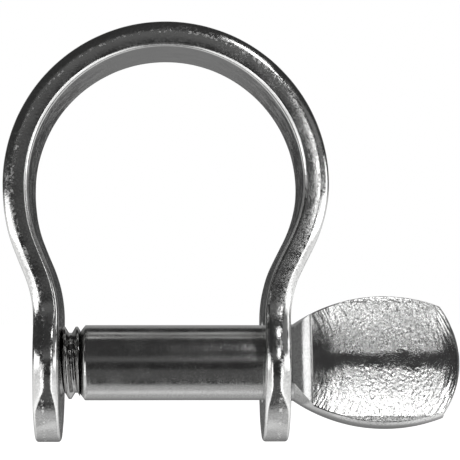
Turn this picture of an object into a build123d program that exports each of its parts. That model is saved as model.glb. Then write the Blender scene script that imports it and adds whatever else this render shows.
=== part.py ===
from build123d import *
import os
from math import cos, radians, sin, tan

# Bow shackle: flat stainless strip bent to a bow with round ears, closed by a screw pin.
# Millimetres. +X runs along the pin towards its thumb tab, +Z from the pin up to the crown of the bow.
# The origin is on the pin's axis, half way between the two ears.

os.makedirs("parts", exist_ok=True)

# Bow
STRIP_THICKNESS = 1.6
STRIP_WIDTH = 8.4
EAR_RADIUS = 5.0
JAW_WIDTH = 12.7
CROWN_RADIUS = 9.3
CROWN_HEIGHT = 11.13
CROWN_SWEEP_BELOW = 24.5
SHOULDER_RADIUS = 7.6
EDGE_ROUND = 0.5
HOLE_CHAMFER = 0.15

# Pin
PIN_RADIUS = 2.38
PIN_CLEARANCE = 0.08
SHANK_START = -5.2
SHANK_CHAMFER = 0.3
SHANK_END_RADIUS = 1.95

# Right-hand thread, on the pin and in the left ear
PITCH = 0.8
THREAD_TIP = -7.85
THREAD_MAJOR_RADIUS = 2.3
THREAD_ROOT_RADIUS = 1.9
TAPPED_MINOR_RADIUS = 2.0
CREST_HALF_WIDTH = 0.07
FLANK_SLOPE = tan(radians(30))
RADIAL_PLAY = 0.08
FLANK_PLAY = 0.06
TIP_CHAMFER = 0.4
CREST_AT_TOP = -5.41
TURNS_BEFORE = 4
TURNS_AFTER = 0.5
RIDGE_OVERLAP = 0.15

# Thumb tab: round bar pressed flat and dished on both faces
TAB_TILT = 16
TAB_THICKNESS = 1.9
NECK_RADIUS_AT_TAB = 2.43
NECK_END = 8.3
RAMP_START = 8.05
RAMP_END = 9.5
RAMP_FIRST_SLOPE = 10
RAMP_LAST_SLOPE = 45
TAB_WIDEST = (14.2, 4.22)
TAB_CORNER = (17.75, 3.56)
TAB_TIP_X = 18.9
DISH_DEPTH = 0.35
DISH_HALF_WIDTH = 3.7

# Cutters run this far past the faces that they cut
CUT_OVERRUN = 0.5
# Where the seams of the round walls lie about the pin, clear of the thread's two ends
HOLE_SEAM_ANGLE = 240
THREAD_SEAM_ANGLE = 135

ear_inner_x = JAW_WIDTH / 2
ear_outer_x = ear_inner_x + STRIP_THICKNESS
ear_centre_x = ear_inner_x + STRIP_THICKNESS / 2

# Corners of the strip's centreline on the +X side: crown arc, straight flank, shoulder arc, upright ear
sweep_cos = cos(radians(CROWN_SWEEP_BELOW))
sweep_sin = sin(radians(CROWN_SWEEP_BELOW))
crown_end_x = CROWN_RADIUS * sweep_cos
crown_end_z = CROWN_HEIGHT - CROWN_RADIUS * sweep_sin
flank_length = (crown_end_x - ear_centre_x - SHOULDER_RADIUS * (1 - sweep_cos)) / sweep_sin
flank_end_x = crown_end_x - flank_length * sweep_sin
flank_end_z = crown_end_z - flank_length * sweep_cos
bend_start_z = flank_end_z - SHOULDER_RADIUS * sweep_sin

# Half the tab's thickness, the arc that ramps down to it and the circle of its dished faces
tab_half = TAB_THICKNESS / 2
ramp_radius = (RAMP_END - RAMP_START) / (sin(radians(RAMP_LAST_SLOPE)) - sin(radians(RAMP_FIRST_SLOPE)))
ramp_centre_x = RAMP_END - ramp_radius * sin(radians(RAMP_LAST_SLOPE))
ramp_centre_y = tab_half - ramp_radius * cos(radians(RAMP_LAST_SLOPE))
ramp_top = ramp_centre_y + ramp_radius * cos(radians(RAMP_FIRST_SLOPE))
dish_radius = (DISH_HALF_WIDTH**2 + DISH_DEPTH**2) / (2 * DISH_DEPTH)
dish_centre = tab_half - DISH_DEPTH + dish_radius


def ear_hole(radius):
    """What is cut from the +X ear: a hole of this radius, chamfered at both faces."""
    wide = radius + HOLE_CHAMFER + CUT_OVERRUN
    with BuildPart() as hole:
        with BuildSketch(Plane.XY.rotated((HOLE_SEAM_ANGLE, 0, 0))):
            Polygon(
                (ear_inner_x - CUT_OVERRUN, 0),
                (ear_outer_x + CUT_OVERRUN, 0),
                (ear_outer_x + CUT_OVERRUN, wide),
                (ear_outer_x - HOLE_CHAMFER, radius),
                (ear_inner_x + HOLE_CHAMFER, radius),
                (ear_inner_x - CUT_OVERRUN, wide),
                align=None,
            )
        revolve(axis=Axis.X)
    return hole.part


def ridge_half_width(radius, play):
    """Half the thread ridge's width along the pin at this radius, grown by the play on each flank."""
    return CREST_HALF_WIDTH + (THREAD_MAJOR_RADIUS - radius) * FLANK_SLOPE + play


def thread_ridge(crest_radius, base_radius, play):
    """A right-hand helical ridge about the pin's axis, whose crest passes the top at CREST_AT_TOP."""
    start = CREST_AT_TOP - TURNS_BEFORE * PITCH
    height = (TURNS_BEFORE + TURNS_AFTER) * PITCH
    half_base = ridge_half_width(base_radius, play)
    half_crest = ridge_half_width(crest_radius, play)
    with BuildPart() as ridge:
        with BuildLine():
            Helix(pitch=PITCH, height=height, radius=base_radius, center=(start, 0, 0), direction=(1, 0, 0))
        with BuildSketch(Plane(origin=(start, 0, 0), x_dir=(0, 0, 1), z_dir=(0, 1, 0))):
            Polygon(
                (base_radius, -half_base),
                (crest_radius, -half_crest),
                (crest_radius, half_crest),
                (base_radius, half_base),
                align=None,
            )
        sweep(is_frenet=True)
    return ridge.part


# Ear blank: a round disc cut off where the bend starts and the strip takes over
with BuildPart() as ear:
    with BuildSketch(Plane.YZ.offset(ear_inner_x)):
        Circle(EAR_RADIUS)
        with Locations((0, bend_start_z)):
            Rectangle(2 * EAR_RADIUS, EAR_RADIUS, align=(Align.CENTER, Align.MIN), mode=Mode.SUBTRACT)
    extrude(amount=STRIP_THICKNESS)
    fillet(ear.edges().filter_by(GeomType.CIRCLE), EDGE_ROUND)

plain_hole = ear_hole(PIN_RADIUS + PIN_CLEARANCE)
tapping_hole = mirror(ear_hole(TAPPED_MINOR_RADIUS), about=Plane.YZ)
tapped_groove = thread_ridge(
    THREAD_MAJOR_RADIUS + RADIAL_PLAY, TAPPED_MINOR_RADIUS - RIDGE_OVERLAP, FLANK_PLAY
)
pin_ridge = thread_ridge(THREAD_MAJOR_RADIUS, THREAD_ROOT_RADIUS - RIDGE_OVERLAP, 0)

# Bow: the bent strip with rounded edges and its two ears, the +X one plain and the -X one tapped
with BuildPart() as bow:
    with BuildSketch(Plane.XZ):
        with BuildLine():
            CenterArc((0, CROWN_HEIGHT), CROWN_RADIUS, -CROWN_SWEEP_BELOW, 90 + CROWN_SWEEP_BELOW)
            Line((crown_end_x, crown_end_z), (flank_end_x, flank_end_z))
            RadiusArc((flank_end_x, flank_end_z), (ear_centre_x, bend_start_z), SHOULDER_RADIUS)
            Line((ear_centre_x, bend_start_z), (ear_centre_x, 0))
            mirror(about=Plane.YZ)
        trace(line_width=STRIP_THICKNESS)
    extrude(amount=STRIP_WIDTH / 2, both=True)
    long_edges = bow.edges().filter_by(Axis.X, reverse=True).filter_by(Axis.Y, reverse=True)
    fillet(long_edges, EDGE_ROUND)
    add(ear.part)
    add(mirror(ear.part, about=Plane.YZ, mode=Mode.PRIVATE))
    add(plain_hole, mode=Mode.SUBTRACT)
    add(tapping_hole, mode=Mode.SUBTRACT)
    add(tapped_groove, mode=Mode.SUBTRACT)
bow.part.label = "bow"
export_step(bow.part, "parts/bow.step")

# Threaded end of the pin: a core with its ridge, trimmed to length with a chamfered tip
with BuildPart() as pin_thread:
    with BuildSketch(Plane.XY.rotated((THREAD_SEAM_ANGLE, 0, 0))):
        Polygon(
            (THREAD_TIP, 0),
            (SHANK_START, 0),
            (SHANK_START, THREAD_ROOT_RADIUS),
            (THREAD_TIP, THREAD_ROOT_RADIUS),
            align=None,
        )
    revolve(axis=Axis.X)
    add(pin_ridge)
    with BuildSketch(Plane.XY.rotated((THREAD_SEAM_ANGLE, 0, 0))):
        Polygon(
            (THREAD_TIP, 0),
            (SHANK_START, 0),
            (SHANK_START, PIN_RADIUS),
            (THREAD_TIP + TIP_CHAMFER, PIN_RADIUS),
            (THREAD_TIP, PIN_RADIUS - TIP_CHAMFER),
            align=None,
        )
    revolve(axis=Axis.X, mode=Mode.INTERSECT)
pin_thread.part.label = "pin_thread"
export_step(pin_thread.part, "parts/pin_thread.step")

# Shank: plain round bar between the ears, chamfered where it meets the thread
with BuildPart() as pin_shank:
    with BuildSketch(Plane.YZ.offset(SHANK_START)):
        Circle(PIN_RADIUS)
    extrude(amount=ear_inner_x - SHANK_START)
    chamfer(pin_shank.edges().sort_by(Axis.X)[0], SHANK_CHAMFER, PIN_RADIUS - SHANK_END_RADIUS)
pin_shank.part.label = "pin_shank"
export_step(pin_shank.part, "parts/pin_shank.step")

# Thumb tab, with the neck that turns in the plain ear: a turned outline pressed flat and dished
with BuildPart() as pin_tab:
    with BuildSketch(Plane.XY):
        with BuildLine():
            Polyline((TAB_TIP_X, 0), (ear_inner_x, 0), (ear_inner_x, PIN_RADIUS), (NECK_END, NECK_RADIUS_AT_TAB))
            ThreePointArc((NECK_END, NECK_RADIUS_AT_TAB), TAB_WIDEST, TAB_CORNER)
            TangentArc((TAB_TIP_X, 0), TAB_CORNER, tangent=(0, 1))
        make_face()
    revolve(axis=Axis.X)

    with BuildSketch(Plane.XY.rotated((-TAB_TILT, 0, 0))):
        with BuildLine():
            Polyline(
                (ear_inner_x, 0),
                (ear_inner_x, TAB_WIDEST[1]),
                (RAMP_START, TAB_WIDEST[1]),
                (RAMP_START, ramp_top),
            )
            CenterArc(
                (ramp_centre_x, ramp_centre_y),
                ramp_radius,
                90 - RAMP_LAST_SLOPE,
                RAMP_LAST_SLOPE - RAMP_FIRST_SLOPE,
            )
            Polyline((RAMP_END, tab_half), (TAB_TIP_X + CUT_OVERRUN, tab_half), (TAB_TIP_X + CUT_OVERRUN, 0))
            mirror(about=Plane.XZ)
        make_face()
    extrude(amount=TAB_WIDEST[1] + CUT_OVERRUN, both=True, mode=Mode.INTERSECT)

    with BuildSketch(Plane.YZ.offset(RAMP_END).rotated((-TAB_TILT, 0, 0))):
        with Locations((dish_centre, 0), (-dish_centre, 0)):
            Circle(dish_radius)
    extrude(amount=TAB_TIP_X - RAMP_END + CUT_OVERRUN, mode=Mode.SUBTRACT)
pin_tab.part.label = "pin_tab"
export_step(pin_tab.part, "parts/pin_tab.step")
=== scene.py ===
import math

import bmesh
import bpy
from mathutils import Matrix, Vector, noise


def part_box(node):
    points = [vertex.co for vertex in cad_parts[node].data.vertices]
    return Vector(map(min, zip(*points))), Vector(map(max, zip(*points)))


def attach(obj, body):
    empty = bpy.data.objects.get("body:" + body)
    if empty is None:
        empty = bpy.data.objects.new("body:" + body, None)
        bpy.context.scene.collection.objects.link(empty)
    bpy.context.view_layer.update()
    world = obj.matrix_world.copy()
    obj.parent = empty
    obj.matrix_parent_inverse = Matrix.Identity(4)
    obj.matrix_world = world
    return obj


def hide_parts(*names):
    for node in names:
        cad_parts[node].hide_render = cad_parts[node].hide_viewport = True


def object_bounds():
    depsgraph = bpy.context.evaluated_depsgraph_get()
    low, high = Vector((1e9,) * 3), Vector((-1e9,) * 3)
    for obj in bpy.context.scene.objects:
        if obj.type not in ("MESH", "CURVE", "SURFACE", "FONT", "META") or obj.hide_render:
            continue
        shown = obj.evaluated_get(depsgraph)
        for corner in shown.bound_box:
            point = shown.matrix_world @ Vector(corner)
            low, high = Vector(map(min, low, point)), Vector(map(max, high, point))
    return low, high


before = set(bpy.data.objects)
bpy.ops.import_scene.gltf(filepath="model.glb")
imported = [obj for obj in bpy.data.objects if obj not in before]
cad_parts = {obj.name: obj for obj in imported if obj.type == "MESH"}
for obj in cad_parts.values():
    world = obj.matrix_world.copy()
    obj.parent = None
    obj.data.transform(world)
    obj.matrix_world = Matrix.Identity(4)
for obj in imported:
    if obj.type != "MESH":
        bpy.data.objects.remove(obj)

cad_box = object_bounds()

# Lengths are in millimetres, in the CAD frame, until a mesh is made: +X runs along the pin to its thumb
# tab, +Z from the pin to the crown of the bow, and the origin is on the pin half way between the ears.
MM = 0.001


def node_box(node):
    """Lowest and highest corner of a CAD node, in millimetres."""
    low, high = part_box(node)
    return low / MM, high / MM


bow_low, bow_high = node_box("bow")
shank_low, shank_high = node_box("pin_shank")
thread_low, thread_high = node_box("pin_thread")
tab_low, tab_high = node_box("pin_tab")

# Bow, as in the CAD model
STRIP_THICKNESS = 1.6
STRIP_WIDTH = 8.4
CROWN_SWEEP_BELOW = math.radians(24.5)
SHOULDER_RADIUS = 7.6
HOLE_CHAMFER = 0.15
PLAIN_HOLE_RADIUS = 2.46
TAPPED_MINOR_RADIUS = 2.0

ear_radius = -bow_low.z
ear_inner_x = shank_high.x
ear_centre_x = ear_inner_x + STRIP_THICKNESS / 2
crown_radius = bow_high.x - STRIP_THICKNESS / 2
crown_height = bow_high.z - bow_high.x
half_width = STRIP_WIDTH / 2
half_thickness = STRIP_THICKNESS / 2

# How far bending left the crown leaning to the tab's side
BOW_LEAN = 0.23
# (inset, depth) of the strip's worn outer and inner edges: along it, on its ears at pin level, and at their
# bottom, where both are nearly square
STRIP_EDGES = ((0.45, 0.68), (0.36, 0.3))
EAR_EDGES = ((0.48, 0.95), (0.44, 0.6))
BOTTOM_EDGE = 0.2
# Heights between which the ear's edges change: down to pin level, and down to the bottom
WEAR_STARTS, WEAR_FULL = 3.6, 1.6
WEAR_ENDS, BOTTOM_STARTS = -1.3, -3.0
# Radius of the hollow where each ear grows out of the strip
EAR_FILLET = 5.0
# Unevenness of the tumbled strip, its size across, and how far round the pin the strip stays true
TUMBLE_DEPTH = 0.012
TUMBLE_REACH = 2.4
TUMBLE_CLEAR_RADIUS = 2.8
TUMBLE_FADE = 0.5

# Thread, as in the CAD model
PITCH = 0.8
THREAD_MAJOR_RADIUS = 2.3
THREAD_ROOT_RADIUS = 1.9
CREST_HALF_WIDTH = 0.07
FLANK_SLOPE = math.tan(math.radians(30))
RADIAL_PLAY = 0.08
FLANK_PLAY = 0.06
CREST_AT_TOP = -5.41
TIP_CHAMFER = 0.4
SHANK_CHAMFER = 0.3
SHANK_END_RADIUS = 1.95

# How much wear has rounded the thread's corners and the shank's, and the border of the thread's flat ends
THREAD_SOFTNESS = 0.03
SHANK_SOFTNESS = 0.06
END_BORDER = 0.05

# Thumb tab, as in the CAD model
TAB_TILT = math.radians(16)
TAB_THICKNESS = 1.9
NECK_RADIUS_AT_TAB = 2.43
NECK_END = 8.3
RAMP_START = 8.05
RAMP_END = 9.5
RAMP_SLOPES = (math.radians(10), math.radians(45))
# Keeps the ramp's first rings clear of the neck's last
RAMP_STEP_IN = 0.01
TAB_WIDEST = (14.2, 4.22)
TAB_CORNER = (17.75, 3.56)
DISH_DEPTH = 0.35
DISH_HALF_WIDTH = 3.7

# The tab's pressed grain: its height, its softened border, and the sizes of its pebbles and streaks
MARK_HEIGHT = 0.015
FACE_EDGE_SOFT = 0.05
PEBBLE_SIZES = (0.17, 0.1)
STREAK_WIDTHS = (0.16, 0.11)
STREAK_LENGTHS = (0.7, 0.45)
# How quickly the streaks curve away from straight across
STREAK_BEND = 0.1
# How coarse, from 0 to 1, the tab is away from its pressed faces; this also darkens the colour of its rim and
# neck as painted shade
SIDE_COARSENESS_AND_SHADE = 0.25

pin_radius = shank_high.z
tab_tip_x = tab_high.x


# ---------------------------------------------------------------------------------------------------------
# Mesh helpers


class Shell:
    """A closed surface collected as points and faces in millimetres, then made into an object."""

    def __init__(self):
        self.points = []
        self.faces = []

    def add(self, x, y, z):
        self.points.append(Vector((x, y, z)))
        return len(self.points) - 1

    def strip(self, row, next_row, closed=False):
        """Quads between two rows with the same number of points."""
        count = len(row)
        for i in range(count if closed else count - 1):
            j = (i + 1) % count
            corners = [row[i], row[j], next_row[j], next_row[i]]
            kept = [c for k, c in enumerate(corners) if c != corners[k - 1]]
            if len(kept) > 2:
                self.faces.append(kept)

    def fan(self, ring, centre):
        """Triangles from a ring to one point."""
        for i, corner in enumerate(ring):
            following = ring[(i + 1) % len(ring)]
            if corner != following:
                self.faces.append([corner, following, centre])

    def build(self, name, sharp_angle):
        """The object, smooth where its faces meet at less than sharp_angle."""
        mesh = bpy.data.meshes.new(name)
        mesh.from_pydata([p * MM for p in self.points], [], self.faces)
        work = bmesh.new()
        work.from_mesh(mesh)
        bmesh.ops.recalc_face_normals(work, faces=work.faces)
        work.to_mesh(mesh)
        work.free()
        mesh.shade_smooth()
        mesh.set_sharp_from_angle(angle=sharp_angle)
        piece = bpy.data.objects.new(name, mesh)
        bpy.context.scene.collection.objects.link(piece)
        return piece


def blend_values(a, b, share):
    return a + (b - a) * share


def smooth_step(low, high, value):
    share = min(1, max(0, (value - low) / (high - low)))
    return share * share * (3 - 2 * share)


def grain(point, scale, seed):
    """Perlin noise from -1 to 1 with features about scale millimetres across."""
    return noise.noise(point / scale + Vector((seed, 2.3 * seed, -1.7 * seed)))


def thread_radius(x, turn, root_radius, crest_radius, play):
    """Radius of the right-hand thread at x, at this angle from the top towards the camera side."""
    crest_x = CREST_AT_TOP + PITCH * turn / (2 * math.pi)
    off_crest = abs((x - crest_x + PITCH / 2) % PITCH - PITCH / 2)
    flank = THREAD_MAJOR_RADIUS - (off_crest - CREST_HALF_WIDTH - play) / FLANK_SLOPE
    above_root = (flank + root_radius + math.hypot(flank - root_radius, THREAD_SOFTNESS)) / 2
    return (crest_radius + above_root - math.hypot(crest_radius - above_root, THREAD_SOFTNESS)) / 2


# ---------------------------------------------------------------------------------------------------------
# Bow: one shell that follows the bent strip, with its two ears


crown_length = crown_radius * (math.pi / 2 + CROWN_SWEEP_BELOW)
crown_end = (
    crown_radius * math.cos(CROWN_SWEEP_BELOW),
    crown_height - crown_radius * math.sin(CROWN_SWEEP_BELOW),
)
flank_fall = crown_end[0] - ear_centre_x - SHOULDER_RADIUS * (1 - math.cos(CROWN_SWEEP_BELOW))
flank_length = flank_fall / math.sin(CROWN_SWEEP_BELOW)
flank_end = (
    crown_end[0] - flank_length * math.sin(CROWN_SWEEP_BELOW),
    crown_end[1] - flank_length * math.cos(CROWN_SWEEP_BELOW),
)
shoulder_length = SHOULDER_RADIUS * CROWN_SWEEP_BELOW
bend_start_z = flank_end[1] - SHOULDER_RADIUS * math.sin(CROWN_SWEEP_BELOW)
straight_start = crown_length + flank_length + shoulder_length


def station(along):
    """The strip's centreline and outward direction, this far from the crown's top (+X side if positive)."""
    side = -1 if along < 0 else 1
    along = abs(along)
    if along < crown_length:
        angle = math.pi / 2 - along / crown_radius
        x = crown_radius * math.cos(angle)
        z = crown_height + crown_radius * math.sin(angle)
    elif along < crown_length + flank_length:
        angle = -CROWN_SWEEP_BELOW
        x = crown_end[0] - (along - crown_length) * math.sin(CROWN_SWEEP_BELOW)
        z = crown_end[1] - (along - crown_length) * math.cos(CROWN_SWEEP_BELOW)
    elif along < straight_start:
        angle = (along - crown_length - flank_length) / SHOULDER_RADIUS - CROWN_SWEEP_BELOW
        x = ear_centre_x + SHOULDER_RADIUS * (1 - math.cos(angle))
        z = bend_start_z - SHOULDER_RADIUS * math.sin(angle)
    else:
        angle = 0
        x = ear_centre_x
        z = bend_start_z - (along - straight_start)
    lean = BOW_LEAN * smooth_step(ear_radius, crown_height, z)
    return Vector((side * x + lean, 0, z)), Vector((side * math.cos(angle), 0, math.sin(angle)))


# Where the strip ends and the ear's fillet begins, and the angle at which the fillet meets the round ear
fillet_z = math.sqrt((ear_radius + EAR_FILLET) ** 2 - (half_width + EAR_FILLET) ** 2)
blended_turn = math.atan2(fillet_z, half_width + EAR_FILLET)


# How finely the bow is divided
EDGE_STEPS = 8
STRIP_ROWS = 300
FACE_COLUMNS = 22
EAR_ARC_STEPS = 60
EAR_FILLET_STEPS = 14
EAR_FACE_LOOPS = 7
TAPPED_WALL_STEPS = 54


def edge_levels(outer, inner):
    """(inset, depth) of each level over both worn edges, from the outer face to the inner."""
    levels = []
    for side, (inset, depth) in ((1, outer), (-1, inner)):
        worn = []
        for step in range(EDGE_STEPS + 1):
            angle = math.pi / 2 * step / EDGE_STEPS
            level = half_thickness - depth * (1 - math.cos(angle))
            worn.append((inset * (1 - math.sin(angle)), side * level))
        levels += worn[::side]
    return levels


def tapped_wall(x, turn):
    """Radius of the tapped ear's thread, opened by the chamfer at both faces."""
    inner_x = -ear_inner_x
    outer_x = inner_x - STRIP_THICKNESS
    from_face = min(inner_x - x, x - outer_x)
    opened = TAPPED_MINOR_RADIUS + HOLE_CHAMFER - from_face
    thread = thread_radius(
        x, turn, TAPPED_MINOR_RADIUS, THREAD_MAJOR_RADIUS + RADIAL_PLAY, FLANK_PLAY
    )
    return max(thread, opened)


def along_at(z):
    """How far along the strip its upright end reaches this height."""
    return straight_start + bend_start_z - z


def ear_rim(inset):
    """(across, height) down one side of the ear's rim: a hollow fillet, then its round outline."""
    path = []
    swing = EAR_FILLET + inset
    for step in range(1, EAR_FILLET_STEPS):
        turn = blended_turn * step / EAR_FILLET_STEPS
        across = half_width + EAR_FILLET - swing * math.cos(turn)
        path.append((across, fillet_z - swing * math.sin(turn)))
    for step in range(EAR_ARC_STEPS + 1):
        angle = blended_turn - (math.pi / 2 + blended_turn) * step / EAR_ARC_STEPS
        path.append(((ear_radius - inset) * math.cos(angle), (ear_radius - inset) * math.sin(angle)))
    return path


def ear_levels(z):
    """The levels over the ear's edges at this height: worn most at pin level, nearly square at the bottom."""
    at_pin = smooth_step(WEAR_STARTS, WEAR_FULL, z)
    at_bottom = smooth_step(WEAR_ENDS, BOTTOM_STARTS, z)
    edges = []
    for plain, worn in zip(STRIP_EDGES, EAR_EDGES):
        sizes = [blend_values(p, w, at_pin) for p, w in zip(plain, worn)]
        edges.append([blend_values(size, BOTTOM_EDGE, at_bottom) for size in sizes])
    return edge_levels(*edges)


class BowShell(Shell):
    """The bow's shell, which also keeps how deep in the strip each point lies: 1 outside, -1 inside."""

    def __init__(self):
        super().__init__()
        self.depths = []

    def add_deep(self, x, y, z, depth):
        self.depths.append(depth / half_thickness)
        return self.add(x, y, z)

    def place(self, along, across, depth):
        """A point this far along the strip, across it from its middle, and out from its centreline."""
        centre, outward = station(along)
        point = centre + outward * depth
        return self.add_deep(point.x, across, point.z, depth)

    def strip_edge(self, side):
        """Rows of points over both rounded edges on one side of the strip, from ear to ear."""
        levels = edge_levels(*STRIP_EDGES)
        rows = []
        for row in range(STRIP_ROWS + 1):
            along = (2 * row / STRIP_ROWS - 1) * along_at(fillet_z)
            rows.append([self.place(along, side * (half_width - inset), depth) for inset, depth in levels])
        for first, second in zip(rows, rows[1:]):
            self.strip(first, second)
        return rows

    def flat_face(self, edges, face, depth):
        """Rows straight across one face of the strip, from one of its rounded edges to the other."""
        rows = []
        for near, far in zip(edges[1], edges[-1]):
            start, end = self.points[near[face]], self.points[far[face]]
            line = [near[face]]
            for column in range(1, FACE_COLUMNS):
                point = start.lerp(end, column / FACE_COLUMNS)
                line.append(self.add_deep(point.x, point.y, point.z, depth))
            rows.append(line + [far[face]])
        for first, second in zip(rows, rows[1:]):
            self.strip(first, second)
        return rows

    def ear_edge(self, side, first_row, last_row):
        """The ear's rounded rim, all the way round from one edge of the strip to the other."""
        down = []
        for index, (_, z) in enumerate(ear_rim(0)):
            down.append([(ear_rim(inset)[index], depth) for inset, depth in ear_levels(z)])
        rows = [first_row]
        for hand, path in ((1, down), (-1, down[-2::-1])):
            for stop in path:
                row = []
                for (across, z), depth in stop:
                    row.append(self.place(side * along_at(z), hand * across, depth))
                rows.append(row)
        rows.append(last_row)
        for first, second in zip(rows, rows[1:]):
            self.strip(first, second)
        return rows

    def ear_face(self, side, outline, angles, hole_radius, depth):
        """Loops from the ear's outline in to the edge of its chamfered hole. Gives the last of them."""
        loop = outline
        for step in range(1, EAR_FACE_LOOPS + 1):
            inner = []
            for start, angle in zip(outline, angles):
                far = math.hypot(self.points[start].y, self.points[start].z)
                radius = blend_values(far, hole_radius + HOLE_CHAMFER, step / EAR_FACE_LOOPS)
                along = side * along_at(radius * math.cos(angle))
                inner.append(self.place(along, radius * math.sin(angle), depth))
            self.strip(loop, inner, closed=True)
            loop = inner
        return loop

    def hole_wall(self, side, outer_loop, inner_loop, angles):
        """The plain or tapped wall between the edges of the hole, with a chamfer at both ends."""
        if side > 0:
            depths = [half_thickness - HOLE_CHAMFER, 0, HOLE_CHAMFER - half_thickness]
        else:
            shares = [step / TAPPED_WALL_STEPS for step in range(1, TAPPED_WALL_STEPS)]
            depths = [half_thickness - STRIP_THICKNESS * share for share in shares]
        last = outer_loop
        for depth in depths:
            x = side * (ear_centre_x + depth)
            ring = []
            for angle in angles:
                radius = PLAIN_HOLE_RADIUS if side > 0 else tapped_wall(x, -angle)
                ring.append(self.add_deep(x, radius * math.sin(angle), radius * math.cos(angle), depth))
            self.strip(last, ring, closed=True)
            last = ring
        self.strip(last, inner_loop, closed=True)


def bow_shell():
    """The strip, then each ear: its rounded rim, its two flat faces and its hole."""
    shell = BowShell()
    edges = {side: shell.strip_edge(side) for side in (1, -1)}
    # The first of each row's levels is on the outer face and the last on the inner
    faces = {0: half_thickness, -1: -half_thickness}
    crossings = {face: shell.flat_face(edges, face, depth) for face, depth in faces.items()}
    for side, row in ((1, STRIP_ROWS), (-1, 0)):
        hole_radius = PLAIN_HOLE_RADIUS if side > 0 else TAPPED_MINOR_RADIUS
        rim = shell.ear_edge(side, edges[1][row], edges[-1][row])
        loops = {}
        angles = {}
        for face, depth in faces.items():
            outline = [levels[face] for levels in rim] + crossings[face][row][-2:0:-1]
            angles[face] = [math.atan2(shell.points[i].y, shell.points[i].z) for i in outline]
            loops[face] = shell.ear_face(side, outline, angles[face], hole_radius, depth)
        shell.hole_wall(side, loops[0], loops[-1], angles[0])
    return shell


def tumble(piece):
    """Uneven flats and edges, as tumble polishing leaves them. The holes for the pin stay true."""
    mesh = piece.data
    moved = []
    for vertex in mesh.vertices:
        point = vertex.co / MM
        off_pin = math.hypot(point.y, point.z)
        free = smooth_step(TUMBLE_CLEAR_RADIUS, TUMBLE_CLEAR_RADIUS + TUMBLE_FADE, off_pin)
        wave = 0.65 * grain(point, TUMBLE_REACH, 3) + 0.35 * grain(point, TUMBLE_REACH / 3, 8)
        moved.append(vertex.co + vertex.normal * (TUMBLE_DEPTH * free * (wave - 0.6) * MM))
    for vertex, place in zip(mesh.vertices, moved):
        vertex.co = place
    mesh.update()


# ---------------------------------------------------------------------------------------------------------
# Pin: threaded end, shank and thumb tab


def lathe(profile, steps):
    """Closed shell from (x, radius) points, turned about the pin's axis."""
    shell = Shell()
    rings = []
    for x, radius in profile:
        ring = []
        for step in range(steps):
            angle = 2 * math.pi * step / steps
            ring.append(shell.add(x, radius * math.cos(angle), radius * math.sin(angle)))
        rings.append(ring)
    for first, second in zip(rings, rings[1:]):
        shell.strip(first, second, closed=True)
    shell.fan(rings[0], shell.add(profile[0][0], 0, 0))
    shell.fan(rings[-1], shell.add(profile[-1][0], 0, 0))
    return shell


def shank_shell():
    """Plain round bar, chamfered at its threaded end."""
    softened = SHANK_SOFTNESS
    start = shank_low.x
    profile = [
        (start, SHANK_END_RADIUS),
        (start + SHANK_CHAMFER - softened, pin_radius - 2 * softened),
        (start + SHANK_CHAMFER, pin_radius - softened / 2),
        (start + SHANK_CHAMFER + softened, pin_radius),
    ]
    run = shank_high.x - profile[-1][0]
    rings = 60
    profile += [(profile[-1][0] + run * k / rings, pin_radius) for k in range(1, rings + 1)]
    return lathe(profile, 160)


def thread_shell():
    """The pin's threaded end, with a chamfered tip."""
    shell = Shell()
    steps = 160
    rings = 180

    def ring(x, radius_at):
        points = []
        for step in range(steps):
            turn = 2 * math.pi * step / steps
            radius = radius_at(turn)
            points.append(shell.add(x, -radius * math.sin(turn), radius * math.cos(turn)))
        return points

    loops = []
    for k in range(rings + 1):
        x = blend_values(thread_low.x, thread_high.x, k / rings)
        tip = pin_radius - TIP_CHAMFER + (x - thread_low.x)

        def radius_at(turn):
            return min(tip, thread_radius(x, turn, THREAD_ROOT_RADIUS, THREAD_MAJOR_RADIUS, 0))

        loops.append(ring(x, radius_at))
    for first, second in zip(loops, loops[1:]):
        shell.strip(first, second, closed=True)
    # A narrow border keeps the shading of each flat end free of the thread's flanks
    for x, loop in ((thread_low.x, loops[0]), (thread_high.x, loops[-1])):
        border = ring(x, lambda turn: THREAD_ROOT_RADIUS - END_BORDER)
        shell.strip(loop, border, closed=True)
        shell.fan(border, shell.add(x, 0, 0))
    return shell


def circle_through(a, b, c):
    """Centre and radius of the circle through three points of the plane."""
    (ax, ay), (bx, by), (cx, cy) = a, b, c
    d = 2 * (ax * (by - cy) + bx * (cy - ay) + cx * (ay - by))
    a2, b2, c2 = ax * ax + ay * ay, bx * bx + by * by, cx * cx + cy * cy
    x = (a2 * (by - cy) + b2 * (cy - ay) + c2 * (ay - by)) / d
    y = (a2 * (cx - bx) + b2 * (ax - cx) + c2 * (bx - ax)) / d
    return (x, y), math.hypot(ax - x, ay - y)


side_centre, side_radius = circle_through((NECK_END, NECK_RADIUS_AT_TAB), TAB_WIDEST, TAB_CORNER)
corner_back = tab_tip_x - TAB_CORNER[0]
end_radius = (corner_back**2 + TAB_CORNER[1] ** 2) / (2 * corner_back)
end_centre_x = tab_tip_x - end_radius
end_half_angle = math.asin(TAB_CORNER[1] / end_radius)
tab_half = TAB_THICKNESS / 2
ramp_radius = (RAMP_END - RAMP_START) / (math.sin(RAMP_SLOPES[1]) - math.sin(RAMP_SLOPES[0]))
dish_radius = (DISH_HALF_WIDTH**2 + DISH_DEPTH**2) / (2 * DISH_DEPTH)


def tab_reach(x):
    """Radius of the turned outline at x, before it was pressed flat."""
    if x < NECK_END:
        return blend_values(pin_radius, NECK_RADIUS_AT_TAB, (x - ear_inner_x) / (NECK_END - ear_inner_x))
    return side_centre[1] + math.sqrt(side_radius**2 - (x - side_centre[0]) ** 2)


def dish_drop(across):
    """How far the pressed face lies under the flat at this distance from its middle."""
    sag = dish_radius - math.sqrt(dish_radius**2 - across**2)
    return max(0, DISH_DEPTH - sag)


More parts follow.
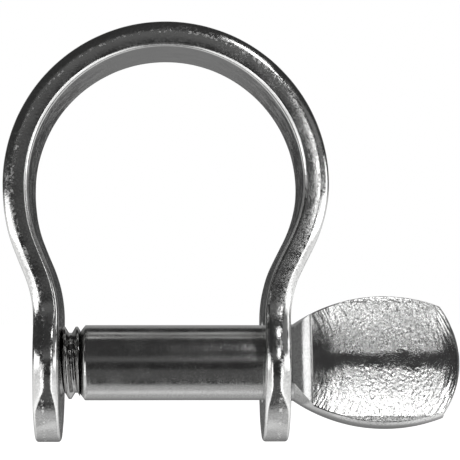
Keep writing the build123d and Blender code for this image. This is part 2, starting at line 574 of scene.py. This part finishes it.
def press_strength(x, across):
    """How coarse the pressed face is here, from 0 to 1: smooth along its valley and towards both ends, where
    its colour is also darkened as painted shade.
    """
    along = (x - RAMP_END) / (tab_tip_x - RAMP_END)
    wander = 0.35 * noise.noise(Vector((x / 1.1, across / 1.6, 4.0)))
    fields = 0.2 + 0.8 * smooth_step(0.1, 1.0, abs(across + wander))
    fields *= smooth_step(-0.04, 0.3, along + 0.06 * wander)
    return fields * (1 - 0.85 * smooth_step(0.8, 0.98, along + 0.15 * wander))


def press_marks(x, across, face):
    """Height of the pressed face's grain: pebbles in the middle, streaks towards both ends."""
    along = (x - RAMP_END) / (tab_tip_x - RAMP_END)
    strength = 0.3 + 0.7 * press_strength(x, across)
    flow = x + STREAK_BEND * across**2
    streaky = smooth_step(0.45, 0.1, along) + smooth_step(0.72, 0.9, along)
    broad, fine = PEBBLE_SIZES
    pebbles = 0.7 * noise.noise(Vector((x / broad, across / broad, face * 7.1)))
    pebbles += 0.5 * noise.noise(Vector((x / fine, across / fine, face * 3.7)))
    streaks = noise.noise(Vector((flow / STREAK_WIDTHS[0], across / STREAK_LENGTHS[0], face * 5.3)))
    streaks += 0.5 * noise.noise(Vector((flow / STREAK_WIDTHS[1], across / STREAK_LENGTHS[1], face * 9.9)))
    return strength * blend_values(pebbles, 0.75 * streaks, min(1, streaky))


def tab_shell():
    """The tab's shell, and how coarse its grain is at each point, which also sets the painted shade of its
    colour.

    The tab lies level here, with its two faces up and down, and is turned to its tilt at the end. Every ring
    round it has its upper face, one side, its lower face and the other side, in that order.
    """
    shell = Shell()
    columns = 150
    lengths = 170
    rim_steps = 10
    neck_steps = 14
    ramp_steps = 40

    def rim(x_at, start, reach, face):
        """Points down one round side, between the heights at plus and minus the start angle."""
        points = []
        for step in range(1, rim_steps):
            angle = start - 2 * start * step / rim_steps
            across = face * reach * math.cos(angle)
            points.append(shell.add(x_at(angle), across, face * reach * math.sin(angle)))
        return points

    def section(x, half_flat):
        """Ring round the neck or ramp at x, with its flats at this height. The neck's are one point wide."""
        reach = tab_reach(x)
        height = min(half_flat, reach)
        edge_across = math.sqrt(max(0, reach**2 - height**2))
        ring = []
        for face in (1, -1):
            if edge_across:
                for column in range(columns + 1):
                    across = edge_across * (2 * column / columns - 1) * face
                    ring.append(shell.add(x, across, height * face))
            else:
                ring += [shell.add(x, 0, height * face)] * (columns + 1)
            ring += rim(lambda angle: x, math.asin(height / reach), reach, face)
        return ring

    rings = []
    for k in range(neck_steps + 1):
        x = blend_values(ear_inner_x, RAMP_START, k / neck_steps)
        rings.append(section(x, tab_reach(x)))
    for k in range(ramp_steps + 1):
        slope = blend_values(RAMP_SLOPES[0], RAMP_SLOPES[1], k / ramp_steps)
        x = RAMP_END - ramp_radius * (math.sin(RAMP_SLOPES[1]) - math.sin(slope))
        top = tab_half + ramp_radius * (math.cos(slope) - math.cos(RAMP_SLOPES[1]))
        rings.append(section(max(x, RAMP_START + RAMP_STEP_IN), top))
    for first, second in zip(rings, rings[1:]):
        shell.strip(first, second, closed=True)
    shell.fan(rings[0], shell.add(ear_inner_x, 0, 0))

    # From the ramp on, rows bend gradually from straight across to the round end
    def outline(across_share, along_share):
        """Point of the tab's plan: across_share runs from -1 to 1, along_share from 0 at the ramp to 1."""
        side_x = blend_values(RAMP_END, TAB_CORNER[0], along_share)
        reach = tab_reach(side_x)
        end_x = end_centre_x + end_radius * math.cos(end_half_angle * across_share)
        end_y = end_radius * math.sin(end_half_angle * across_share)
        x = side_x + along_share * (end_x - TAB_CORNER[0])
        y = reach * across_share + along_share * (end_y - TAB_CORNER[1] * across_share)
        return x, y, reach

    def rim_height(reach):
        edge = math.sqrt(reach**2 - tab_half**2)
        return tab_half - dish_drop(min(edge, DISH_HALF_WIDTH))

    def end_bulge(height):
        """How far the round end falls back at this height."""
        return height**2 / (2 * end_radius)

    last = rings[-1]
    for k in range(lengths + 1):
        along_share = k / lengths
        rounding = along_share**8
        side_x, _, reach = outline(1, along_share)
        edge_height = rim_height(reach)
        squeeze = math.sqrt(reach**2 - edge_height**2) / reach
        from_end = (1 - along_share) * (tab_tip_x - RAMP_END)

        def rim_x(angle):
            return side_x - rounding * end_bulge(reach * math.sin(angle))

        ring = []
        for face in (1, -1):
            for column in range(columns + 1):
                share = (2 * column / columns - 1) * face
                x, y, _ = outline(share, along_share)
                y *= squeeze
                x -= rounding * end_bulge(edge_height)
                from_side = reach * squeeze * (1 - abs(share))
                edge = min(1, min(from_side, from_end) / FACE_EDGE_SOFT)
                height = tab_half - dish_drop(min(abs(y), DISH_HALF_WIDTH))
                height += MARK_HEIGHT * edge * press_marks(x, y, face)
                height -= 0.4 * FACE_EDGE_SOFT * (1 - edge) ** 2
                ring.append(shell.add(x, y, height * face))
            ring += rim(rim_x, math.asin(edge_height / reach), reach, face)
        shell.strip(last, ring, closed=True)
        last = ring

    # The round end between the two faces
    face_count = columns + 1
    rim_count = rim_steps - 1
    upper = last[:face_count]
    right_rim = last[face_count : face_count + rim_count]
    lower = last[face_count + rim_count : 2 * face_count + rim_count][::-1]
    left_rim = last[2 * face_count + rim_count :][::-1]
    previous = upper
    for step in range(1, rim_steps):
        row = [left_rim[step - 1]]
        for column in range(1, columns):
            share = 2 * column / columns - 1
            top = shell.points[upper[column]]
            height = top.z * (1 - 2 * step / rim_steps)
            full_x = end_centre_x + end_radius * math.cos(end_half_angle * share)
            row.append(shell.add(full_x - end_bulge(height), top.y, height))
        row.append(right_rim[step - 1])
        shell.strip(previous, row)
        previous = row
    shell.strip(previous, lower)

    coarseness_and_shade = []
    lowest_face = tab_half - DISH_DEPTH
    for point in shell.points:
        on_face = smooth_step(lowest_face - 0.12, lowest_face - 0.02, abs(point.z))
        on_face *= smooth_step(RAMP_END - 0.1, RAMP_END + 0.1, point.x)
        coarseness_and_shade.append(blend_values(SIDE_COARSENESS_AND_SHADE, press_strength(point.x, point.y), on_face))
    turned = Matrix.Rotation(-TAB_TILT, 3, "X") @ Matrix.Rotation(math.radians(90), 3, "X")
    shell.points = [turned @ p for p in shell.points]
    return shell, coarseness_and_shade


# ---------------------------------------------------------------------------------------------------------
# Materials


class Nodes:
    """Adds nodes to a tree. What it is given may be a number or another node's socket."""

    def __init__(self, tree):
        self.tree = tree
        tree.nodes.clear()

    def add(self, kind, **settings):
        node = self.tree.nodes.new(kind)
        for key, value in settings.items():
            setattr(node, key, value)
        return node

    def set(self, node, socket, value):
        target = node.inputs[socket]
        if isinstance(value, bpy.types.NodeSocket):
            self.tree.links.new(value, target)
        else:
            target.default_value = value

    def math(self, operation, a, b=0.0):
        node = self.add("ShaderNodeMath", operation=operation)
        self.set(node, 0, a)
        self.set(node, 1, b)
        return node.outputs[0]

    def noise(self, vector, scale, detail, roughness=0.5):
        node = self.add("ShaderNodeTexNoise")
        self.set(node, "Vector", vector)
        self.set(node, "Scale", scale)
        self.set(node, "Detail", detail)
        self.set(node, "Roughness", roughness)
        return node.outputs["Fac"]

    def stretch(self, vector, scale):
        node = self.add("ShaderNodeMapping")
        self.set(node, "Vector", vector)
        self.set(node, "Scale", scale)
        return node.outputs["Vector"]

    def fade(self, value, low, high, to_low=0.0, to_high=1.0, kind="SMOOTHSTEP"):
        """A value that runs from to_low to to_high while the given one runs from low to high."""
        node = self.add("ShaderNodeMapRange", interpolation_type=kind)
        ends = {"Value": value, "From Min": low, "From Max": high, "To Min": to_low, "To Max": to_high}
        for socket, number in ends.items():
            self.set(node, socket, number)
        return node.outputs["Result"]

    def product(self, *factors):
        total = factors[0]
        for factor in factors[1:]:
            total = self.math("MULTIPLY", total, factor)
        return total


# Depth in the strip (1 outside, -1 inside) of the bow's line of pits, whose colour is lightened as a painted
# sheen, and the size of the tab's speckles
EDGE_MARKS_AND_SHEEN_DEPTH = 0.2
SPECKLE_SIZE = 0.13


def steel(name, tone, roughness, grain_size, grain_depth, streaks=None, edge_marks_and_sheen=False, pressed=False):
    """Bright stainless steel: roughness is (smoothest, roughest), grain sizes are in millimetres.

    streaks stretches broad lines over the grain, edge_marks_and_sheen pits a line along the bow's outer edge
    and lightens its colour there as a painted sheen, and pressed adds the grain of the tab's faces, with
    painted shade in its pits and where it is smooth, and painted light where it is coarse.
    """
    material = bpy.data.materials.new(name)
    material.use_nodes = True
    nodes = Nodes(material.node_tree)
    place = nodes.add("ShaderNodeTexCoord").outputs["Object"]
    per_mm = nodes.stretch(place, (1 / MM,) * 3)

    fine = nodes.noise(per_mm, 1 / grain_size, detail=3)
    broad = nodes.noise(per_mm, 0.9, detail=2)
    height = fine
    if streaks:
        lines = nodes.noise(nodes.stretch(per_mm, streaks), 1.0, detail=2)
        height = nodes.math("ADD", nodes.math("MULTIPLY", fine, 0.4), lines)

    mixed = nodes.math("ADD", nodes.math("MULTIPLY", fine, 0.5), nodes.math("MULTIPLY", broad, 0.5))
    worn = nodes.fade(mixed, 0.38, 0.62, *roughness)
    shade = nodes.fade(fine, 0.3, 0.7, 0.9, 1.06)
    if edge_marks_and_sheen:
        depth = nodes.add("ShaderNodeAttribute", attribute_name="depth").outputs["Fac"]
        wander = nodes.math("MULTIPLY", nodes.math("SUBTRACT", broad, 0.5), 0.12)
        off_line = nodes.math("SUBTRACT", nodes.math("ADD", depth, wander), EDGE_MARKS_AND_SHEEN_DEPTH)
        on_line = nodes.fade(nodes.math("ABSOLUTE", off_line), 0.05, 0.18, 1, 0)
        pits = nodes.fade(nodes.noise(per_mm, 4.0, detail=4, roughness=0.65), 0.5, 0.62)
        marks_and_sheen = nodes.math("MULTIPLY", on_line, pits)
        worn = nodes.math("ADD", worn, nodes.math("MULTIPLY", marks_and_sheen, 0.3))
        # Painted sheen: the line of pits is lightened in colour, besides being made rougher
        shade = nodes.math("ADD", shade, nodes.math("MULTIPLY", marks_and_sheen, 0.4))
    if pressed:
        coarse = nodes.add("ShaderNodeAttribute", attribute_name="coarse").outputs["Fac"]
        speckle = nodes.noise(per_mm, 1 / SPECKLE_SIZE, detail=2, roughness=0.6)
        height = nodes.math("ADD", height, nodes.product(speckle, coarse, 3.2))
        worn = nodes.math("ADD", worn, nodes.fade(coarse, 0.2, 0.9, 0, 0.14))
        # Painted shade: the speckle's low pits are darkened in colour
        pit_shade = nodes.math("MULTIPLY", nodes.fade(speckle, 0.36, 0.5, 0.45, 0), coarse)
        shade = nodes.math("SUBTRACT", shade, pit_shade)
        # Painted shade and painted light: the tab is darker in colour where its grain is smooth, on its rim,
        # neck, valley and both ends, and brighter on the coarse fields of its face
        shade = nodes.math("MULTIPLY", shade, nodes.fade(coarse, 0.1, 0.8, 0.6, 1.08))

    colour = nodes.add("ShaderNodeVectorMath", operation="SCALE")
    nodes.set(colour, 0, tone)
    nodes.set(colour, "Scale", shade)
    bump = nodes.add("ShaderNodeBump")
    nodes.set(bump, "Strength", 1.0)
    nodes.set(bump, "Distance", grain_depth * MM)
    nodes.set(bump, "Height", height)

    shader = nodes.add("ShaderNodeBsdfPrincipled")
    nodes.set(shader, "Base Color", colour.outputs[0])
    nodes.set(shader, "Metallic", 1.0)
    nodes.set(shader, "Roughness", worn)
    nodes.set(shader, "Normal", bump.outputs["Normal"])
    output = nodes.add("ShaderNodeOutputMaterial")
    nodes.set(output, "Surface", shader.outputs["BSDF"])
    return material


tumbled = steel("tumbled_strip", (0.60, 0.60, 0.595), (0.1, 0.26), 0.14, 0.004, edge_marks_and_sheen=True)
turned = steel("turned_bar", (0.52, 0.52, 0.515), (0.16, 0.25), 0.1, 0.006, streaks=(9.0, 0.8, 0.8))
# Painted shade: the thread's tone is darker than the rest of the pin's steel, for the ear's shadow over it
cut_shaded = steel("cut_thread", (0.42, 0.42, 0.415), (0.08, 0.16), 0.1, 0.0003)
# Partly the bright coined finish and partly painted light: the tab's tone is brighter than the rest of the
# pin's steel
coined_lit = steel("coined_tab", (0.78, 0.78, 0.775), (0.1, 0.16), 0.09, 0.003, pressed=True)


# ---------------------------------------------------------------------------------------------------------
# Pieces


def mark_points(piece, name, values):
    """Keep one number for each point, for the material to read."""
    piece.data.attributes.new(name, "FLOAT", "POINT").data.foreach_set("value", values)


def finish_piece(piece, material, node, body):
    """Dress a piece, attach it to its body and hide the CAD node that it stands in for."""
    piece.data.materials.append(material)
    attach(piece, body)
    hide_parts(node)


bow_surface = bow_shell()
bow = bow_surface.build("bow_strip", math.radians(32))
mark_points(bow, "depth", bow_surface.depths)
tumble(bow)
finish_piece(bow, tumbled, "bow", "bow")

shank = shank_shell().build("shank", math.radians(50))
finish_piece(shank, turned, "pin_shank", "pin_sliding")

thread = thread_shell().build("thread", math.radians(40))
finish_piece(thread, cut_shaded, "pin_thread", "pin_turning")

tab_surface, coarseness_and_shade = tab_shell()
tab = tab_surface.build("thumb_tab", math.radians(40))
mark_points(tab, "coarse", coarseness_and_shade)
finish_piece(tab, coined_lit, "pin_tab", "pin_turning")


# ---------------------------------------------------------------------------------------------------------
# Studio


FLOOR_GAP = 0.0002
FLOOR_HALF_SIZE = 3.0
FLOOR_TONE = (0.9, 0.9, 0.9, 1)
FLOOR_GLOW = 1.15


def studio_floor():
    """A plain pale floor just under the shackle, which lights it from below."""
    material = bpy.data.materials.new("floor_white")
    material.use_nodes = True
    inputs = material.node_tree.nodes["Principled BSDF"].inputs
    inputs["Base Color"].default_value = FLOOR_TONE
    inputs["Roughness"].default_value = 0.9
    inputs["Emission Color"].default_value = FLOOR_TONE
    inputs["Emission Strength"].default_value = FLOOR_GLOW

    mesh = bpy.data.meshes.new("floor")
    z = cad_box[0].z - FLOOR_GAP
    corners = [(x * FLOOR_HALF_SIZE, y * FLOOR_HALF_SIZE, z) for x, y in ((-1, -1), (1, -1), (1, 1), (-1, 1))]
    mesh.from_pydata(corners, [], [(0, 1, 2, 3)])
    floor = bpy.data.objects.new("floor", mesh)
    bpy.context.scene.collection.objects.link(floor)
    mesh.materials.append(material)
    floor.visible_glossy = False


def studio_world():
    """Soft panels below, beside and behind, and dark walls elsewhere. The camera itself sees plain white."""
    world = bpy.data.worlds.new("studio")
    world.use_nodes = True
    bpy.context.scene.world = world
    nodes = Nodes(world.node_tree)
    fade, product = nodes.fade, nodes.product
    ray = nodes.add("ShaderNodeTexCoord").outputs["Generated"]
    split = nodes.add("ShaderNodeSeparateXYZ")
    nodes.set(split, 0, ray)
    x, y, z = split.outputs

    # Degrees round from the camera's side and up from level
    degrees = 180 / math.pi
    round_from_camera = nodes.math("ARCTAN2", nodes.math("ABSOLUTE", x), nodes.math("MULTIPLY", y, -1.0))
    away = nodes.math("MULTIPLY", round_from_camera, degrees)
    height = nodes.math("MULTIPLY", nodes.math("ARCSINE", z), degrees)

    beside = fade(away, 19, 28)
    before_back = fade(away, 152, 172, 1, 0)
    off_strip_light = nodes.math("ABSOLUTE", nodes.math("SUBTRACT", away, 27.0))
    lights = [
        # Big panels at both sides, from far below to just above level
        product(
            fade(height, -40, 5, 1.6, 0.4, "LINEAR"),
            fade(height, -3, 3, 1, 0),
            fade(height, -78, -62),
            beside,
            fade(away, 90, 150, 1, 0.55),
            before_back,
        ),
        # A narrow upright light at the front edge of each
        product(fade(off_strip_light, 1.5, 5, 1, 0), fade(height, -40, -30), fade(height, -4, 1, 1, 0), 3.0),
        # Their brighter far halves, low down
        product(fade(away, 60, 110), before_back, fade(height, -2, 3, 1, 0), fade(height, -30, -10), 0.35),
        # Towards the back, above level
        product(fade(away, 125, 150), before_back, fade(height, 25, 40, 1, 0), fade(height, -5, 5), 0.35),
        # Straight below
        product(fade(height, -80, -62, 1, 0), 0.6),
        # The back wall, below level and then above it
        product(
            fade(away, 150, 170),
            fade(height, -60, -20, 0.6, 0.2),
            fade(height, -7, 0, 1, 0.1),
            fade(height, 0, 8, 1, 0),
        ),
        product(fade(away, 150, 165), fade(height, 6, 16), fade(height, 40, 52, 1, 0), 0.38),
        # Faint light round the camera, above level and below
        product(fade(away, 18, 26, 1, 0), fade(height, 1, 8), fade(height, 10, 25, 1, 0.05), 0.12),
        product(fade(away, 18, 28, 1, 0), fade(height, -64, -52), fade(height, -24, -14, 1, 0), 0.09),
        # The dark walls
        fade(height, 0, 14, 0.035, 0.045),
    ]
    total = lights[0]
    for light in lights[1:]:
        total = nodes.math("ADD", light, total)
    lit = nodes.add("ShaderNodeBackground")
    nodes.set(lit, "Color", total)
    white = nodes.add("ShaderNodeBackground")
    nodes.set(white, "Color", (1, 1, 1, 1))
    nodes.set(white, "Strength", 1.0)
    seen = nodes.add("ShaderNodeLightPath").outputs["Is Camera Ray"]
    mixed = nodes.add("ShaderNodeMixShader")
    nodes.set(mixed, 0, seen)
    nodes.set(mixed, 1, lit.outputs[0])
    nodes.set(mixed, 2, white.outputs[0])
    output = nodes.add("ShaderNodeOutputWorld")
    nodes.set(output, "Surface", mixed.outputs[0])


def close_lamps():
    """Small soft lamps close by, for the two halves of the tab's face, its ramp and the sides of the ears."""
    lamps = [
        # Name, point lit, degrees round and up to the lamp from there, distance, width, height, radiance
        ("face_lamp_low", (21, -1, 0), 0, 15.5, 60, 9.4, 13, 3.4),
        ("face_lamp_high", (21, -1, 0), 0, 48, 60, 9.4, 18, 5.8),
        ("ramp_lamp", (9.2, -1.5, 0), 78, 19, 50, 22, 12, 2.0),
        ("ramp_fill", (9.2, -1.5, 0), 48, 27, 50, 30, 26, 0.18),
        ("left_ear_lamp", (-7, -4, 0), -62, 2, 60, 58, 18, 1.9),
        ("right_ear_lamp", (7, -4, 0), 62, 2, 60, 58, 18, 1.9),
    ]
    for name, lit_point, round_right, raised, distance, width, tall, radiance in lamps:
        across, up = math.radians(round_right), math.radians(raised)
        towards = Vector((math.sin(across) * math.cos(up), -math.cos(across) * math.cos(up), math.sin(up)))
        lamp = bpy.data.lights.new(name, "AREA")
        lamp.shape = "RECTANGLE"
        lamp.size = width * MM
        lamp.size_y = tall * MM
        lamp.energy = radiance * math.pi * lamp.size * lamp.size_y
        made = bpy.data.objects.new(name, lamp)
        made.location = (Vector(lit_point) + towards * distance) * MM
        made.rotation_mode = "QUATERNION"
        made.rotation_quaternion = (-towards).to_track_quat("-Z", "Y")
        made.visible_camera = False
        bpy.context.scene.collection.objects.link(made)


def camera():
    """Just above the pin and well back, looking a little up and to the right."""
    eye = Vector((0, -130, 2.7))
    target = Vector((4.306, 0, 8.433))
    frame_width_mm = 29.3
    data = bpy.data.cameras.new("camera")
    data.sensor_width = 36
    data.lens = data.sensor_width * (target - eye).length / frame_width_mm
    data.clip_start = 0.005
    data.clip_end = 20
    made = bpy.data.objects.new("camera", data)
    made.location = eye * MM
    made.rotation_mode = "QUATERNION"
    made.rotation_quaternion = (target - eye).to_track_quat("-Z", "Y")
    bpy.context.scene.collection.objects.link(made)
    bpy.context.scene.camera = made


studio_floor()
studio_world()
close_lamps()
camera()
bpy.context.scene.view_settings.view_transform = "Standard"
